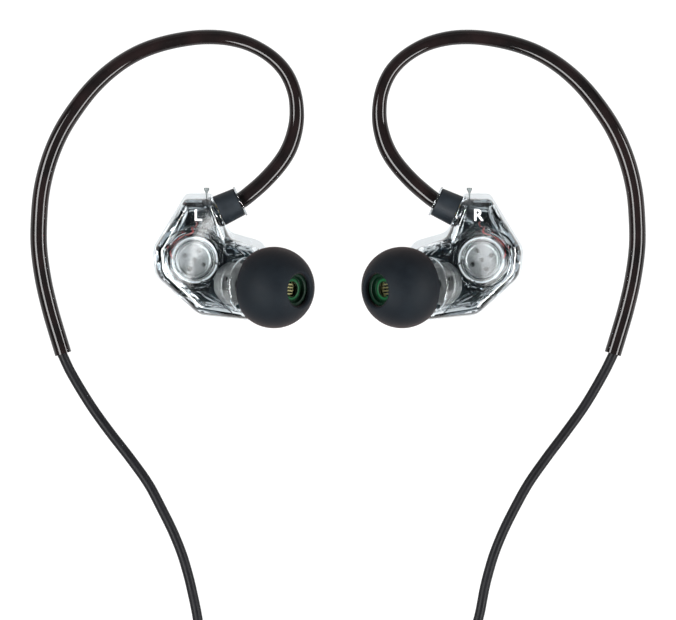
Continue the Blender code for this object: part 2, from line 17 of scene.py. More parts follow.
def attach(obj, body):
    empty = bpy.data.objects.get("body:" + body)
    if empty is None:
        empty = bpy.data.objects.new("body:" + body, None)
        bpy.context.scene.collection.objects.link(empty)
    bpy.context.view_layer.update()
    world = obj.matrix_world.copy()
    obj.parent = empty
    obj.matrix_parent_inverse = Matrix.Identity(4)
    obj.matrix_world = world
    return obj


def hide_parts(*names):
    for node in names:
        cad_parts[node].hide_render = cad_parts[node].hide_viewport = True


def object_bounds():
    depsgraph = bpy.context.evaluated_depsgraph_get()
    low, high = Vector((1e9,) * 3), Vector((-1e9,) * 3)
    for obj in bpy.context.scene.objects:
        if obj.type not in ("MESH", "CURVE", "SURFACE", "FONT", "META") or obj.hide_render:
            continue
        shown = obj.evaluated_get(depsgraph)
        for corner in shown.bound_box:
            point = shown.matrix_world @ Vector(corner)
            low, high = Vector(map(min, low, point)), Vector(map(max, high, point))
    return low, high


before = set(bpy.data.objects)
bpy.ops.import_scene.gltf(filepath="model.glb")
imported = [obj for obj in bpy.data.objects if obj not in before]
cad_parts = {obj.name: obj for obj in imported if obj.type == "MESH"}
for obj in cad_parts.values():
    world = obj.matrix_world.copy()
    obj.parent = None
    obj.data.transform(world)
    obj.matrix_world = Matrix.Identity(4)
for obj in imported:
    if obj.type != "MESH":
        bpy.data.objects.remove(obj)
cad_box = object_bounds()

MM = 0.001
UP = Vector((0, 0, 1))
SIDES = ("left", "right")
WAVE_TURN = 6.283            # a wave texture's scale counts in turns of this many radians

# Shell: its seam, and its outline with the sections of its outside and its cavity
SEAM_Z = 4.6
SEAM_GAP = 0.03
SHELL_CENTRE = Vector((-21.5, -10.6, 0))
SHELL_CORNERS = (            # x, y, corner radius, clockwise from the top left
    (-24.45, -0.95, 1), (-20.3, -0.95, 0.6), (-17.2, -7.3, 1.3),
    (-12, -9, 2.5), (-10.7, -15, 5), (-12.4, -20.5, 3),
    (-22.2, -19.5, 3), (-29, -13.35, 3), (-29.4, -9.05, 3))
OUTSIDE_SECTIONS = (         # height, inset from the outline
    (0.5, 0.3), (1.3, 0.1), (2.2, 0), (4.6, 0), (6, 0.03), (6.7, 0.14), (7.2, 0.36),
    (7.55, 0.68), (7.8, 1.08), (7.94, 1.5), (8, 1.95))
CAVITY_SECTIONS = (
    (1, 2.6), (1.1, 2), (1.5, 1.4), (2.2, 1.1), (4.6, 1.05), (5.9, 1.08),
    (6.5, 1.3), (6.8, 1.65), (6.95, 2.05), (7, 2.5))
FACEPLATE_CORNERS = (        # a thin plate that stands out a little all round
    (-24.4, -0.05, 1), (-20.3, -0.05, 0.6), (-17.5, -6.2, 2.5),
    (-11.6, -7.9, 2.5), (-10.5, -15, 5), (-12.3, -20.65, 3),
    (-22.25, -19.65, 3), (-29.4, -13.25, 3), (-29.8, -8.9, 3))
FACEPLATE_SECTIONS = ((0, 0.12), (0.12, 0), (0.95, 0), (1.1, 0.12))
RING_RIBS = (                # round the main driver: inner and outer radius, lower edge
    (2.95, 3.15, 6.2), (3.85, 4.1, 5.2), (4.45, 4.7, 5.7), (5.1, 5.3, 6.1))

# Nozzle and ear tip: distances run along one tilted axis from the tip's rim
RIM = Vector((-12.16, -15, 9))
NOZZLE_AXIS = Vector((0.728, -0.073, 0.682)).normalized()
NOZZLE_R = 2.2
NOZZLE_BORE_R = 1.5
NOZZLE_END = 5.3
DOME_R = 6.5
DOME_CENTRE = 2.7
DOME_WALL = 0.65
TIP_BORE_R = 2.6
LINER_R = (2.1, 2.54)
LINER_END = 7.4
STEM_R = (2.75, 3.35)
LIP_R = 1.25

# Connector
SOCKET_MOUTH = Vector((-19.08, -2.96, SEAM_Z))
CONNECTOR_AXIS = Vector((0.906, 0.423, 0)).normalized()
BOSS_R = 2.75
SOCKET_R = (1.5, 1.8)
COLLAR_R = (2.5, 2.32)       # at the shell and at the hook

# Drivers, and where the nub stands on the shell's edge
DRIVER = Vector((-22.96, -10.77, 1.35))
DRIVER_FOOT = Vector((DRIVER.x, DRIVER.y, 0))
DRIVER_R = 3.4
SMALL_DRIVER = RIM - NOZZLE_AXIS * 6.4
SMALL_DRIVER_R = 3.3
NUB_FOOT = Vector((-21, -0.95, 5.5))

# Flat black pads on the board: outline, height of the upper face
DARK_PADS = (
    (((-24.2, -2.5), (-23.3, -4.9), (-24.6, -5.4)), 5),
    (((-28.1, -8.3), (-27.3, -8), (-27.2, -11.8), (-27.9, -11.6)), 5.2),
    (((-20.5, -6.6), (-18.6, -6.9), (-17.9, -11.6), (-19.3, -11.8), (-20.6, -9)), 5.4),
    (((-24.6, -13.3), (-19.9, -13.9), (-20.6, -15.7), (-23.6, -16.2)), 4.6),
    (((-28, -13.1), (-26.9, -13.6), (-22.4, -18.4), (-23, -18.6)), 4.6))

# Hook tube and cable, the same routes as the CAD solids have
HOOK_R = 1.36
HOOK_WIDTHS = (              # share of the length, share of the radius
    (0, 0.98), (0.12, 0.98), (0.2, 0.84), (0.29, 0.82), (0.36, 0.88),
    (0.5, 0.92), (0.62, 1), (1, 1))
HOOK_ROUTE = (
    (-16.5, -1.76, 4.6), (-15.6, -1.32, 4.6), (-14.3, -0.35, 4.57), (-11.9, 1.75, 4.42),
    (-9.35, 4.6, 4.1), (-7.8, 7.15, 3.75), (-6.85, 10.2, 3.35), (-6.6, 12.9, 3),
    (-7, 16.1, 2.6), (-8.35, 19.25, 2.25), (-10.7, 21.8, 1.95), (-14, 23.75, 1.7),
    (-17.5, 24.75, 1.5), (-21, 25, 1.45), (-24.4, 24.7, 1.4), (-28.55, 23.8, 1.37),
    (-32.2, 22.4, 1.37), (-35.75, 20.2, 1.37), (-39.1, 17.2, 1.37), (-42, 13.6, 1.37),
    (-44.4, 9.8, 1.37), (-46.3, 5.3, 1.37), (-47.5, 0.5, 1.37), (-47.95, -4.35, 1.37),
    (-47.95, -8.85, 1.37), (-47.25, -14, 1.37), (-46.15, -18.75, 1.37),
    (-45.15, -22.2, 1.37), (-44.05, -25.8, 1.37))
LEAD_R = 0.8
CORD_R = 1.0
PAIR_X = (-21, -19)      # the leads run side by side here, left one first
LEFT_ROUTE = (
    (-44.1, -26.15, 1.2), (-42.85, -28.8, 0.95), (-39.75, -33.95, 0.8), (-36.8, -38.1, 0.8),
    (-33.35, -42.55, 0.8), (-30.4, -46.7, 0.8), (-28.2, -50.85, 0.8), (-26.5, -54.3, 0.8),
    (-25.1, -57.75, 0.8), (-24.25, -60.5, 0.8), (-23.55, -63.25, 0.8), (-22.5, -68.4, 0.8),
    (-21.5, -76, 0.8), (-21.05, -86, 0.8), (PAIR_X[0], -97, 0.85),
    (PAIR_X[0], -103, 1.4), (PAIR_X[0], -109, 1.45), (PAIR_X[0], -122, 1.4),
    (PAIR_X[0], -126.5, 0.9), (PAIR_X[0], -129.4, 0.8))
RIGHT_ROUTE = (
    (44, -26.15, 1.2), (42.7, -28.8, 0.95), (39.7, -33.95, 0.8), (36.75, -38.1, 0.8),
    (33.4, -42.55, 0.8), (30.5, -46.7, 0.8), (28.2, -50.85, 0.8), (26.5, -54.3, 0.8),
    (25.1, -57.75, 0.8), (24.25, -60.5, 0.8), (23.55, -63.25, 0.8), (22.5, -68.4, 0.8),
    (20.2, -75, 0.8), (14.6, -80.6, 0.8), (7, -84.2, 0.8), (-1.2, -86.8, 0.8),
    (-9.4, -90.2, 0.8), (-15.6, -95.2, 0.85), (-18.6, -101.6, 1.3), (PAIR_X[1], -108, 1.45),
    (PAIR_X[1], -122, 1.4), (PAIR_X[1], -125, 0.95), (PAIR_X[1], -127, 0.82))
PAIR_COIL = Vector((PAIR_X[0] + 10.6, -136, 0))
PAIR_TURNS = 2.25
SPLITTER_CENTRE = Vector((7.3, -145.6, 1.7))
SPLITTER_SIZE = (15, 5.6, 3.4)
SLIDER_CENTRE = Vector((-20, -117.5, 1.6))
SLIDER_SIZE = (5.8, 6, 3.2)
SPLITTER_TO_COIL = (
    (15.1, -145.6, 1.7), (17.2, -145.6, 1.5), (19.4, -145.6, 1.6), (21.4, -145.6, 1.8))
CORD_COIL = Vector((30, -130.6, 1.8))
CORD_COIL_R = (9, 15)    # of the innermost and outermost turn
CORD_LAYERS = 4
TURNS_A_LAYER = 4
COIL_TO_PLUG = (
    (15, -139.2, 7.2), (15, -142.4, 6.4), (15, -145.8, 5.4), (14.5, -150, 4.4),
    (12.6, -154.3, 3.6), (9.2, -157.5, 3.2), (4.9, -159.1, 3.4), (0.6, -159.4, 3.9))
PLUG_START = Vector((0.2, -159.4, 4))
PLUG_AXIS = Vector((-1, 0, 0))


# ------------ mesh helpers

def polar(radius, angle, height=0.0):
    """A place on a circle round the Z axis."""
    return Vector((radius * cos(angle), radius * sin(angle), height))


def sharpened(mesh, degrees):
    """The same mesh with its edges sharp where they turn by more than an angle."""
    mesh.set_sharp_from_angle(angle=radians(degrees))
    return mesh


def shaded(shape, name):
    """A smooth-shaded mesh of a bmesh, which is freed."""
    mesh = bpy.data.meshes.new(name)
    shape.to_mesh(mesh)
    shape.free()
    mesh.shade_smooth()
    return sharpened(mesh, 40)


def to_mesh(shape, name):
    """A smooth-shaded mesh in metres from a bmesh in millimetres."""
    bmesh.ops.recalc_face_normals(shape, faces=shape.faces)
    bmesh.ops.scale(shape, vec=(MM, MM, MM), verts=shape.verts)
    return shaded(shape, name)


def skinned(shape, rings, closed=False, capped=True):
    """Faces between neighbouring rings of vertices, then a cap on each end ring."""
    for lower, upper in zip(rings, rings[1:] + rings[:1] if closed else rings[1:]):
        for k in range(len(lower)):
            n = (k + 1) % len(lower)
            shape.faces.new((lower[k], lower[n], upper[n], upper[k]))
    if capped:
        shape.faces.new(rings[0])
        shape.faces.new(rings[-1])


def mirrored(mesh):
    """A copy of a mesh on the other side of the YZ plane."""
    copy = mesh.copy()
    copy.transform(Matrix.Scale(-1, 4, (1, 0, 0)))
    copy.flip_normals()
    return copy


def joined(meshes, name):
    """One mesh of several, in metres already."""
    shape = bmesh.new()
    for mesh in meshes:
        shape.from_mesh(mesh)
    return shaded(shape, name)


def evaluated(piece):
    """The mesh of an object with its modifiers applied; the object is removed."""
    bpy.context.view_layer.update()
    seen = piece.evaluated_get(bpy.context.evaluated_depsgraph_get())
    mesh = bpy.data.meshes.new_from_object(seen)
    mesh.transform(piece.matrix_world)
    bpy.data.objects.remove(piece)
    return mesh


def placed(name, data):
    """A new object in the scene."""
    piece = bpy.data.objects.new(name, data)
    bpy.context.scene.collection.objects.link(piece)
    return piece


def boolean(mesh, other, operation):
    """One mesh joined to, cut by or limited to another."""
    piece, tool = placed("work", mesh), placed("tool", other)
    change = piece.modifiers.new("change", "BOOLEAN")
    change.object = tool
    change.operation = operation
    made = evaluated(piece)
    bpy.data.objects.remove(tool)
    return made


def fit(name, mesh, body, finish, replaced=()):
    """Add a finished piece with its material and body, and hide the CAD parts that it replaces."""
    piece = placed(name, mesh)
    mesh.materials.clear()
    mesh.materials.append(finish)
    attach(piece, body)
    if replaced:
        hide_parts(*replaced)
    return piece


def fit_both(name, mesh, finish, node=None, body="earpiece"):
    """Add a piece on the left and its mirror image on the right."""
    for side in SIDES:
        data = mesh if side == "left" else mirrored(mesh)
        where = body if body == "root" else f"{side}_{body}"
        stands_for = (f"{side}_{node}",) if node else ()
        fit(f"{side}_{name}", data, where, finish, stands_for)


def softened(profile, radius, closed):
    """The profile with its corners rounded off."""
    points = [Vector(p) for p in profile]
    count = len(points)
    out = []
    for i, corner in enumerate(points):
        if not closed and i in (0, count - 1):
            out.append(corner)
            continue
        before, after = points[i - 1], points[(i + 1) % count]
        near, far = before - corner, after - corner
        reach = min(radius, 0.45 * near.length, 0.45 * far.length)
        start, end = corner + near.normalized() * reach, corner + far.normalized() * reach
        for k in range(5):
            t = k / 4
            out.append(start * (1 - t) ** 2 + corner * 2 * t * (1 - t) + end * t ** 2)
    return out


def turned(name, profile, axis, origin, steps=72, ring=False, soft=0.08):
    """A turned mesh; profile is (radius, distance) pairs along the axis."""
    shape = bmesh.new()
    turn = UP.rotation_difference(axis)
    rings = []
    for radius, distance in softened(profile, soft, ring):
        rings.append([shape.verts.new(origin + turn @ polar(radius, tau * k / steps, distance))
                      for k in range(steps)])
    skinned(shape, rings, closed=ring, capped=False)
    bmesh.ops.remove_doubles(shape, verts=shape.verts, dist=0.0005)
    return to_mesh(shape, name)


def rod_profile(radius, start, end):
    """The open profile of a plain rod between two distances."""
    return ((0, start), (radius, start), (radius, end), (0, end))


def tube_profile(inner, outer, start, end):
    """The closed profile of a plain ring between two distances."""
    return ((outer, end), (outer, start), (inner, start), (inner, end))


def rounded(corners, step=6.0):
    """A closed outline through arcs at the corners, about step degrees a point."""
    outline = []
    for i, (x, y, radius) in enumerate(corners):
        corner = Vector((x, y, 0))
        before = (Vector((*corners[i - 1][:2], 0)) - corner).normalized()
        after = (Vector((*corners[(i + 1) % len(corners)][:2], 0)) - corner).normalized()
        half = before.angle(after) / 2
        centre = corner + (before + after).normalized() * radius / sin(half)
        start = corner + before * radius / tan(half) - centre
        turn = (pi - 2 * half) * (-1 if before.cross(after).z > 0 else 1)
        steps = max(4, round(abs(turn) / radians(step)))
        for k in range(steps + 1):
            outline.append(centre + Matrix.Rotation(turn * k / steps, 3, "Z") @ start)
    return outline


def loft(name, outline, sections):
    """A capped solid through copies of an outline, inset towards the shell's centre."""
    shape = bmesh.new()
    skinned(shape, [[
        shape.verts.new(point + (SHELL_CENTRE - point).normalized() * inset + UP * height)
        for point in outline] for height, inset in sections])
    return to_mesh(shape, name)


def slab(outline, low, high):
    """A flat outline raised from one height to another."""
    shape = bmesh.new()
    skinned(shape, [[shape.verts.new((*p, z)) for p in outline] for z in (low, high)])
    return to_mesh(shape, "slab")


def wall(start, end, width, low, high, edge=0.35):
    """An upright rib between two places, with a V-shaped lower edge."""
    a, b = Vector((*start, 0)), Vector((*end, 0))
    side = Vector((a.y - b.y, b.x - a.x, 0)).normalized() * width / 2
    shape = bmesh.new()
    skinned(shape, [[shape.verts.new(place + side * across + UP * z) for across, z in (
        (1, high), (1, low + edge), (0, low), (-1, low + edge), (-1, high))] for place in (a, b)])
    return to_mesh(shape, "wall")


def box(centre, size, bevel, segments=3):
    """A block with rounded edges."""
    shape = bmesh.new()
    bmesh.ops.create_cube(shape, size=1, matrix=Matrix.Translation(centre)
                          @ Matrix.Diagonal((*size, 1)))
    bmesh.ops.bevel(shape, geom=shape.edges[:], offset=bevel, segments=segments,
                    profile=0.5, affect="EDGES")
    return to_mesh(shape, "box")


# ------------ routes and tubes

def smooth(route, spacing):
    """Points a set distance apart on one smooth curve through the route."""
    points = [Vector(p) for p in route]
    ends = [points[0] * 2 - points[1]] + points + [points[-1] * 2 - points[-2]]
    fine = []
    for before, start, end, after in zip(ends, ends[1:], ends[2:], ends[3:]):
        reach = (end - start).length / 3
        out = (end - before).normalized() * reach
        back = (after - start).normalized() * reach
        fine += interpolate_bezier(start, start + out, end - back, end, 12)[:-1]
    fine.append(points[-1])
    return respaced(fine, spacing)


def respaced(fine, spacing):
    """The same line with points a set distance apart."""
    line = np.array([tuple(p) for p in fine])
    run = np.concatenate([[0], np.cumsum(np.linalg.norm(np.diff(line, axis=0), axis=1))])
    at = np.linspace(0, run[-1], max(2, round(run[-1] / spacing)) + 1)
    return [Vector(p) for p in np.stack([np.interp(at, run, line[:, k]) for k in range(3)], axis=1)]


def swept(name, path, radius, sides=16, hollow=0.0):
    """A round tube along a path; radius may be a function of the share of the length."""
    shape = bmesh.new()
    ahead = (path[1] - path[0]).normalized()
    side = ahead.orthogonal().normalized()
    rings = []
    for i, point in enumerate(path):
        onward = (path[min(i + 1, len(path) - 1)] - path[max(i - 1, 0)]).normalized()
        side = (side - onward * side.dot(onward)).normalized()
        other = onward.cross(side)
        r = radius(i / (len(path) - 1)) if callable(radius) else radius
        rings.append([shape.verts.new(point + side * (r * cos(tau * k / sides))
                                      + other * (r * sin(tau * k / sides)))
                      for k in range(sides)])
    skinned(shape, rings, capped=not hollow)
    if hollow:
        for ring, point in ((rings[0], path[0]), (rings[-1], path[-1])):
            inner = [shape.verts.new(point.lerp(v.co, hollow)) for v in ring]
            skinned(shape, [ring, inner], capped=False)
            shape.faces.new(inner)
    return to_mesh(shape, name)


def eased(x):
    """0 before 0, 1 after 1, and smooth between."""
    x = min(max(x, 0.0), 1.0)
    return x * x * (3 - 2 * x)


def lead_path(route, radius, rise_to):
    """A lead's whole run: its route, its turns in the pair coil, and into the splitter."""
    turns = []
    steps = round(PAIR_TURNS * 48)
    for k in range(steps + 1):
        travelled = 360 * PAIR_TURNS * k / steps
        layer, within = divmod(travelled, 360)
        angle = radians(180 + travelled)
        height = LEAD_R + 2 * LEAD_R * (layer + eased((within - 180) / 130))
        turns.append(PAIR_COIL + polar(radius, angle, height))
    out = turns[-1]
    end_x = SPLITTER_CENTRE.x - SPLITTER_SIZE[0] / 2 + 0.6
    leave = [Vector((out.x + (end_x - out.x) * share, out.y, out.z + (rise_to - out.z) * drop))
             for share, drop in ((0.2, 0.0), (0.4, 0.03), (0.62, 0.25), (0.82, 0.72), (1, 1))]
    return respaced(smooth(list(route) + turns[::2] + leave, 0.6), 0.6)


def cord_path():
    """The main cord: out of the splitter, round its coil in layers, and to the plug."""
    inner, outer = CORD_COIL_R
    points = [Vector(p) for p in SPLITTER_TO_COIL]
    turns = CORD_LAYERS * TURNS_A_LAYER - 0.25
    steps = round(turns * 48)
    for k in range(3, steps + 1):
        turn = turns * k / steps
        layer = min(int(turn / TURNS_A_LAYER), CORD_LAYERS - 1)
        within = turn - layer * TURNS_A_LAYER
        share = min(within / (TURNS_A_LAYER - 1), 1.0)
        radius = outer + (inner - outer) * (share if layer % 2 == 0 else 1 - share)
        rise = eased((within - TURNS_A_LAYER + 0.45) / 0.45) if layer < CORD_LAYERS - 1 else 0
        angle = radians(270 + 360 * turn)
        points.append(CORD_COIL + polar(radius, angle, 2 * CORD_R * (layer + rise)))
    points += [Vector((15.0, -134.5, 7.75))] + [Vector(p) for p in COIL_TO_PLUG]
    return smooth(points, 0.9)


# ------------ materials

def link(material, source, target):
    """Join a node's output to another node's input."""
    material.node_tree.links.new(source, target)


def shader_of(material):
    """The Principled shader of a material."""
    return material.node_tree.nodes["Principled BSDF"]


def surface(name, colour, roughness, **values):
    """A Principled material; values set the shader's own sockets by name."""
    made = bpy.data.materials.new(name)
    made.use_nodes = True
    shader = shader_of(made)
    shader.inputs["Base Color"].default_value = (*colour, 1)
    shader.inputs["Roughness"].default_value = roughness
    for key, value in values.items():
        shader.inputs[key.replace("_", " ")].default_value = value
    return made


def node(material, kind, **values):
    """A new node; values set its inputs by name."""
    made = material.node_tree.nodes.new(kind)
    for key, value in values.items():
        made.inputs[key.replace("_", " ")].default_value = value
    return made


def position(material):
    """The place on the object, in metres."""
    return node(material, "ShaderNodeTexCoord").outputs["Object"]


def noise(material, size, detail=4.0):
    """A noise field whose features are about size millimetres across."""
    field = node(material, "ShaderNodeTexNoise", Scale=1 / (size * MM), Detail=detail)
    link(material, position(material), field.inputs["Vector"])
    return field.outputs["Fac"]


def remapped(material, source, low, high, start=0.3, stop=0.7):
    """A field scaled to run from low to high."""
    scaled = node(material, "ShaderNodeMapRange", From_Min=start, From_Max=stop, To_Min=low,
                  To_Max=high)
    link(material, source, scaled.inputs["Value"])
    return scaled.outputs["Result"]


def bumped(material, source, height, strength=0.5):
    """Raise the surface by a field, height in millimetres, on top of any earlier bump."""
    normal = shader_of(material).inputs["Normal"]
    bump = node(material, "ShaderNodeBump", Strength=strength, Distance=height * MM)
    link(material, source, bump.inputs["Height"])
    if normal.links:
        link(material, normal.links[0].from_socket, bump.inputs["Normal"])
    link(material, bump.outputs["Normal"], normal)


def stops_of(ramp, *stops):
    """Set a colour ramp's two ends, each as (position, colour)."""
    for element, (place, colour) in zip(ramp.color_ramp.elements, stops):
        element.position = place
        element.color = (*colour, 1)


def varied(material, source, dark, light, start=0.35, stop=0.65):
    """Colour the surface between two colours by a field."""
    ramp = node(material, "ShaderNodeValToRGB")
    stops_of(ramp, (start, dark), (stop, light))
    link(material, source, ramp.inputs["Fac"])
    link(material, ramp.outputs["Color"], shader_of(material).inputs["Base Color"])


def roughened(material, source, low, high):
    """Vary the roughness by a field."""
    link(material, remapped(material, source, low, high), shader_of(material).inputs["Roughness"])


def clear_plastic():
    """Polished clear polycarbonate, faintly uneven from the mould."""
    made = surface("clear_plastic", (0.95, 0.975, 0.985), 0.02, Transmission_Weight=1.0, IOR=1.56)
    bumped(made, noise(made, 3.0, 1.0), 0.01, 0.15)
    tint = node(made, "ShaderNodeVolumeAbsorption", Density=150.0, Color=(0.22, 0.33, 0.40, 1))
    output = made.node_tree.nodes["Material Output"]
    link(made, tint.outputs["Volume"], output.inputs["Volume"])
    return made


def moulded(name, colour, roughness, grain, light=None, **values):
    """A moulded plastic or rubber: fine grain, patchy sheen and a little colour change."""
    made = surface(name, colour, roughness, **values)
    fine, broad = noise(made, grain, 5.0), noise(made, grain * 22, 3.0)
    light = light or tuple(c * 1.35 for c in colour)
    varied(made, broad, colour, light)
    roughened(made, broad, roughness - 0.06, roughness + 0.07)
    bumped(made, fine, grain * 0.35, 0.35)
    return made


def metal(name, colour, roughness, grain, **values):
    """A pressed or plated metal with fine scratches and smudges."""
    made = surface(name, colour, roughness, Metallic=1.0, **values)
    fine, broad = noise(made, grain, 6.0), noise(made, 0.9, 4.0)
    varied(made, broad, tuple(c * 0.86 for c in colour), colour)
    roughened(made, fine, max(roughness - 0.08, 0.04), roughness + 0.12)
    bumped(made, fine, 0.006, 0.3)
    return made


def turned_metal(name, colour, roughness, centre):
    """Metal with the fine concentric lines that a press or lathe leaves."""
    made = metal(name, colour, roughness, 0.05)
    shift = node(made, "ShaderNodeMapping", Location=tuple(-c * MM for c in centre))
    rings = node(made, "ShaderNodeTexWave", Scale=7 / MM / WAVE_TURN, Distortion=0.4)
    rings.wave_type = "RINGS"
    rings.rings_direction = "Z"
    link(made, position(made), shift.inputs["Vector"])
    link(made, shift.outputs["Vector"], rings.inputs["Vector"])
    bumped(made, rings.outputs["Fac"], 0.008, 0.35)
    return made


def circuit_board():
    """Dark solder mask with faint traces under it."""
    made = surface("circuit_board", (0.006, 0.012, 0.015), 0.35, Coat_Weight=0.4)
    traces = node(made, "ShaderNodeTexVoronoi", Scale=0.9 / MM)
    traces.distance = "MANHATTAN"
    traces.feature = "F2"
    link(made, position(made), traces.inputs["Vector"])
    spread = traces.outputs["Distance"]
    varied(made, spread, (0.004, 0.009, 0.012), (0.012, 0.028, 0.032), 0.4, 0.75)
    bumped(made, spread, 0.03, 0.3)
    roughened(made, noise(made, 0.3), 0.28, 0.48)
    return made


def woven(name, colour):
    """Hook-and-loop tape: a fine cross weave."""
    made = surface(name, colour, 0.8, Sheen_Weight=0.08, Specular_IOR_Level=0.2)
    place = position(made)
    for direction in ("X", "Y"):
        wave = node(made, "ShaderNodeTexWave", Scale=3.2 / MM / WAVE_TURN, Distortion=0.6)
        wave.bands_direction = direction
        link(made, place, wave.inputs["Vector"])
        bumped(made, wave.outputs["Fac"], 0.12, 0.6)
    varied(made, noise(made, 0.25), colour, tuple(c * 2.2 for c in colour))
    return made


def graded(material, axis, origin, stops):
    """Colour by the distance along an axis, on either side; stops are (mm, colour)."""
    split = node(material, "ShaderNodeSeparateXYZ")
    flip, merge = node(material, "ShaderNodeMath"), node(material, "ShaderNodeCombineXYZ")
    along = node(material, "ShaderNodeVectorMath")
    flip.operation = "ABSOLUTE"
    along.operation = "DOT_PRODUCT"
    along.inputs[1].default_value = (-axis.x, axis.y, axis.z)
    for source, target in (
            (position(material), split.inputs["Vector"]), (split.outputs["X"], flip.inputs[0]),
            (flip.outputs["Value"], merge.inputs["X"]), (split.outputs["Y"], merge.inputs["Y"]),
            (split.outputs["Z"], merge.inputs["Z"]), (merge.outputs["Vector"], along.inputs[0])):
        link(material, source, target)
    start, first, last = axis.dot(origin), stops[0][0], stops[-1][0]
    scaled = remapped(material, along.outputs["Value"], 0, 1,
                      (start + first) * MM, (start + last) * MM)
    varied(material, scaled, stops[0][1], stops[-1][1], 0.0, 1.0)
    ramp = next(n for n in material.node_tree.nodes if n.type == "VALTORGB")
    for distance, colour in stops[1:-1]:
        ramp.color_ramp.elements.new((distance - first) / (last - first)).color = (*colour, 1)


# ------------ shells

def half_space(low, high):
    """A block that covers the whole earpiece between two heights."""
    return box((-18, -10, (low + high) / 2), (70, 70, high - low), 0.01, segments=1)


def outer_form(outline):
    """The shell's solid outer form: faceplate, nozzle neck and connector boss."""
    body = loft("body", outline, OUTSIDE_SECTIONS)
    body = boolean(body, loft("plate", rounded(FACEPLATE_CORNERS), FACEPLATE_SECTIONS), "UNION")
    neck = turned("neck", (
        (0, NOZZLE_END), (NOZZLE_R, NOZZLE_END), (NOZZLE_R, 3.7), (NOZZLE_R + 0.22, 3.5),
        (NOZZLE_R + 0.22, 3.1), (NOZZLE_R, 2.8), (NOZZLE_R, 0.0),
        (NOZZLE_R + 0.1, -0.15), (4.5, -2.6), (4.6, -2.8), (4.6, -6.8), (0, -6.8)),
        NOZZLE_AXIS, RIM, 96, soft=0.1)
    boss = turned("boss", rod_profile(BOSS_R, 0, -2.6),
                  CONNECTOR_AXIS, SOCKET_MOUTH, 48, soft=0.25)
    body = boolean(body, neck, "UNION")
    return boolean(body, boss, "UNION")


def hollows(outline):
    """What is cut out of the form: the cavity, the nozzle's bore and the socket's hole."""
    cavity = loft("cavity", outline, CAVITY_SECTIONS)
    bore = turned("bore", (
        (0, NOZZLE_END + 1), (NOZZLE_BORE_R, NOZZLE_END + 1), (NOZZLE_BORE_R, -1.6),
        (2.6, -2.2), (3.75, -3.6), (3.75, -7.0), (0, -7.0)), NOZZLE_AXIS, RIM, 48)
    hole = turned("hole", rod_profile(SOCKET_R[1] + 0.05, 1, -4.2),
                  CONNECTOR_AXIS, SOCKET_MOUTH, 48)
    return cavity, bore, hole


def drilled(mesh, radius, place, axis, start, end, steps=24):
    """The mesh with a round hole through it, from one distance along an axis to another."""
    drill = turned("drill", rod_profile(radius, start, end), axis, place, steps)
    return boolean(mesh, drill, "DIFFERENCE")


def crisp(mesh):
    """Normals that keep flat faces flat and put the bend into the narrow ones."""
    piece = placed("work", mesh)
    weighted = piece.modifiers.new("normals", "WEIGHTED_NORMAL")
    weighted.keep_sharp = True
    weighted.weight = 100
    return evaluated(piece)


def inner_ribs():
    """Ribs and posts moulded under the shell's inner half."""
    top = 7.3
    ribs = [wall(start, end, width, low, top) for start, end, width, low in (
        ((-25.1, -13.9), (-20.4, -16.35), 0.34, 4.75),
        ((-20.4, -16.35), (-17.6, -18.45), 0.34, 4.75),
        ((-25.8, -15.2), (-21.2, -17.9), 0.30, 5.0), ((-22.6, -15.9), (-16.8, -18.9), 0.26, 5.4),
        ((-20.1, -10.9), (-18.2, -12.1), 0.30, 5.0), ((-20.4, -7.3), (-18.2, -8.7), 0.30, 5.0),
        ((-18.2, -8.7), (-17.9, -9.9), 0.30, 5.2), ((-17.9, -9.9), (-16.0, -10.2), 0.30, 5.2),
        ((-16.6, -8.5), (-14.9, -10.0), 0.26, 5.2), ((-24.5, -3.2), (-27.7, -8.2), 0.26, 5.0),
        ((-24.2, -2.2), (-25.9, -6.3), 0.24, 5.6), ((-25.9, -6.3), (-23.6, -5.9), 0.24, 5.8),
        ((-21.6, -5.4), (-22.4, -6.3), 0.24, 5.8), ((-21.2, -13.9), (-20.7, -15.2), 0.26, 5.4),
        ((-21.9, -14.2), (-20.5, -14.7), 0.26, 5.4), ((-28.1, -8.0), (-28.0, -11.3), 0.30, 5.0),
        ((-24.2, -2.15), (-20.6, -2.15), 0.30, 4.8), ((-20.9, -2.15), (-20.3, -4.6), 0.26, 5.4))]
    post = turned("post", ((0, top), (0.75, top), (0.75, 5.0), (0.5, 4.8), (0, 4.8)), UP,
                  Vector((-17.35, -9.3, 0)), 24)
    rings = [turned("ring", ((outer, top), (outer, low + 0.3), ((inner + outer) / 2, low),
                             (inner, low + 0.3), (inner, top)), UP,
                    DRIVER_FOOT, 96, ring=True, soft=0.03)
             for inner, outer, low in RING_RIBS]
    return ribs + [post] + rings


def outer_ribs():
    """The cradle ring and posts moulded on the faceplate half."""
    cradle = turned("cradle", tube_profile(3.75, 4.15, 2.45, 4.3), UP, DRIVER_FOOT, 64, ring=True)
    posts = [turned("post", rod_profile(0.7, 1.9, 0.7), UP, Vector((x, y, 0)), 24)
             for x, y in ((-23.3, -3.6), (-17.8, -10.2), (-18.6, -17.6))]
    return [cradle] + posts


